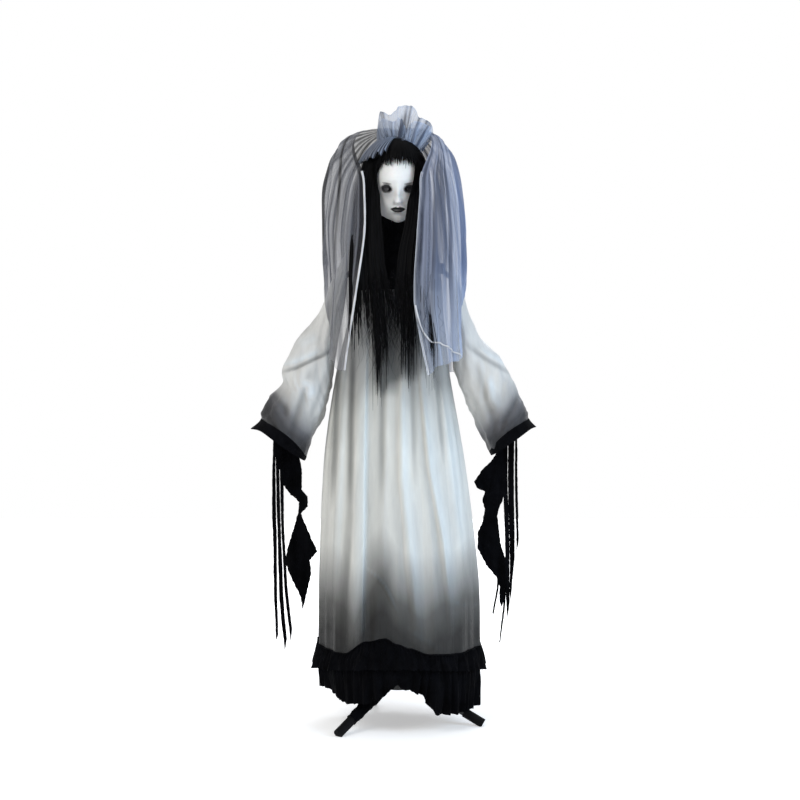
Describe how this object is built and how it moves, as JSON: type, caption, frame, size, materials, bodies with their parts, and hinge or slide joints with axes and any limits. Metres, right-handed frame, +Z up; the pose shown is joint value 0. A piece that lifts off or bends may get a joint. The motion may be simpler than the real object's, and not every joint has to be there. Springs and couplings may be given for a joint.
{
  "type": "animated bride figure",
  "caption": "Life-size-style animated bride figure on a plug-together stand, with turning head and upper body, lifting arms, layered dress, veil and battery drive.",
  "frame": {"origin": "on the floor, on the stand pole's axis, below the middle of the figure", "axes": "+Z up along the figure, the figure faces -Y, and +X is the right side of a viewer in front of it"},
  "size_m": [0.782, 0.4634, 1.7479],
  "materials": {
    "black_plastic": "satin",
    "grey_plastic": "matte",
    "steel": "brushed",
    "black_steel": "gloss",
    "rubber": "matte",
    "nylon": "satin",
    "board": "satin",
    "battery": "gloss",
    "vinyl": "satin",
    "eye": "gloss",
    "hair": "satin",
    "black_cloth": "matte",
    "white_satin": "satin",
    "tulle": "sheer"
  },
  "bodies": {
    "stand": {"base_hub": "black_plastic", "leg_tube_right": "black_steel", "leg_tube_rear": "black_steel", "leg_tube_front_left": "black_steel", "foot_cap_right": "rubber", "foot_cap_rear": "rubber", "foot_cap_front_left": "rubber", "leg_wrap": "black_cloth", "pole_lower": "black_steel", "pole_upper": "black_steel", "pole_coupler": "black_plastic", "support_collar": "steel", "torso_gear": "nylon", "skirt": "white_satin", "ruffle_upper": "black_cloth", "ruffle_lower": "black_cloth"},
    "torso": {"drive_case_front": "black_plastic", "drive_case_rear": "black_plastic", "torso_motor": "steel", "speaker": "black_plastic", "circuit_board": "board", "case_screw_1": "steel", "case_screw_2": "steel", "battery_box": "black_plastic", "battery_1": "battery", "battery_2": "battery", "battery_3": "battery", "battery_lid": "black_plastic", "spine_rod": "black_steel", "shoulder_bar": "black_steel", "neck_case": "black_plastic", "neck_cover": "black_plastic", "neck_motor": "steel", "yoke": "black_cloth"},
    "switch": {"power_switch": "grey_plastic"},
    "button": {"try_button": "grey_plastic"},
    "torso_drive_pinion": {"torso_pinion": "nylon"},
    "neck_drive_pinion": {"neck_pinion": "nylon"},
    "head": {"neck_shaft": "steel", "neck_gear": "nylon", "head_bracket": "steel", "face_mask": "vinyl", "skull_shell": "vinyl", "eye_left": "eye", "eye_right": "eye", "wig_cap": "hair", "hair_left": "hair", "hair_right": "hair", "veil": "tulle", "veil_pouf": "tulle"},
    "arm_left": {"arm_rod_left": "black_steel", "sleeve_left": "white_satin", "cuff_left": "black_cloth"},
    "arm_right": {"arm_rod_right": "black_steel", "sleeve_right": "white_satin", "cuff_right": "black_cloth"},
    "hanging_left": {"tatter_hanger_left": "grey_plastic", "tatters_left": "black_cloth"},
    "hanging_right": {"tatter_hanger_right": "grey_plastic", "tatters_right": "black_cloth"}
  },
  "joints": [
    {"name": "torso_turn", "type": "hinge", "parent": "stand", "child": "torso", "pos_m": [0, 0, 0.96], "axis": [0, 0, 1], "range_deg": [-20, 20]},
    {"name": "torso_pinion_spin", "type": "hinge", "parent": "torso", "child": "torso_drive_pinion", "pos_m": [-0.04, 0, 1.01], "axis": [0, 0, 1], "range_deg": [-60, 60]},
    {"name": "head_turn", "type": "hinge", "parent": "torso", "child": "head", "pos_m": [0, 0, 1.4], "axis": [0, 0, 1], "range_deg": [-30, 30], "deforming": ["hair_left", "hair_right", "veil"]},
    {"name": "neck_pinion_spin", "type": "hinge", "parent": "torso", "child": "neck_drive_pinion", "pos_m": [0, 0.0252, 1.386], "axis": [0, 0, 1], "range_deg": [-75, 75]},
    {"name": "arm_lift_left", "type": "hinge", "parent": "torso", "child": "arm_left", "pos_m": [-0.118, 0, 1.29], "axis": [0, 1, 0], "range_deg": [0, 30]},
    {"name": "arm_lift_right", "type": "hinge", "parent": "torso", "child": "arm_right", "pos_m": [0.118, 0, 1.29], "axis": [0, -1, 0], "range_deg": [0, 30]},
    {"name": "tatters_plumb_left", "type": "hinge", "parent": "arm_left", "child": "hanging_left", "pos_m": [-0.34241, 0, 0.845], "axis": [0, 1, 0], "range_deg": [-30, 0], "deforming": ["tatters_left"]},
    {"name": "tatters_plumb_right", "type": "hinge", "parent": "arm_right", "child": "hanging_right", "pos_m": [0.32926, 0, 0.8432], "axis": [0, -1, 0], "range_deg": [-30, 0], "deforming": ["tatters_right"]},
    {"name": "power_switch_slide", "type": "slide", "parent": "torso", "child": "switch", "axis": [1, 0, 0], "range_m": [0, 0.004]},
    {"name": "try_button_press", "type": "slide", "parent": "torso", "child": "button", "axis": [0, -1, 0], "range_m": [0, 0.002], "stiffness_N_per_m": 400}
  ],
  "couplings": [
    {"joint": "torso_pinion_spin", "follows": "torso_turn", "ratio": 3},
    {"joint": "neck_pinion_spin", "follows": "head_turn", "ratio": -2.5},
    {"joint": "tatters_plumb_left", "follows": "arm_lift_left", "ratio": -1},
    {"joint": "tatters_plumb_right", "follows": "arm_lift_right", "ratio": -1}
  ]
}
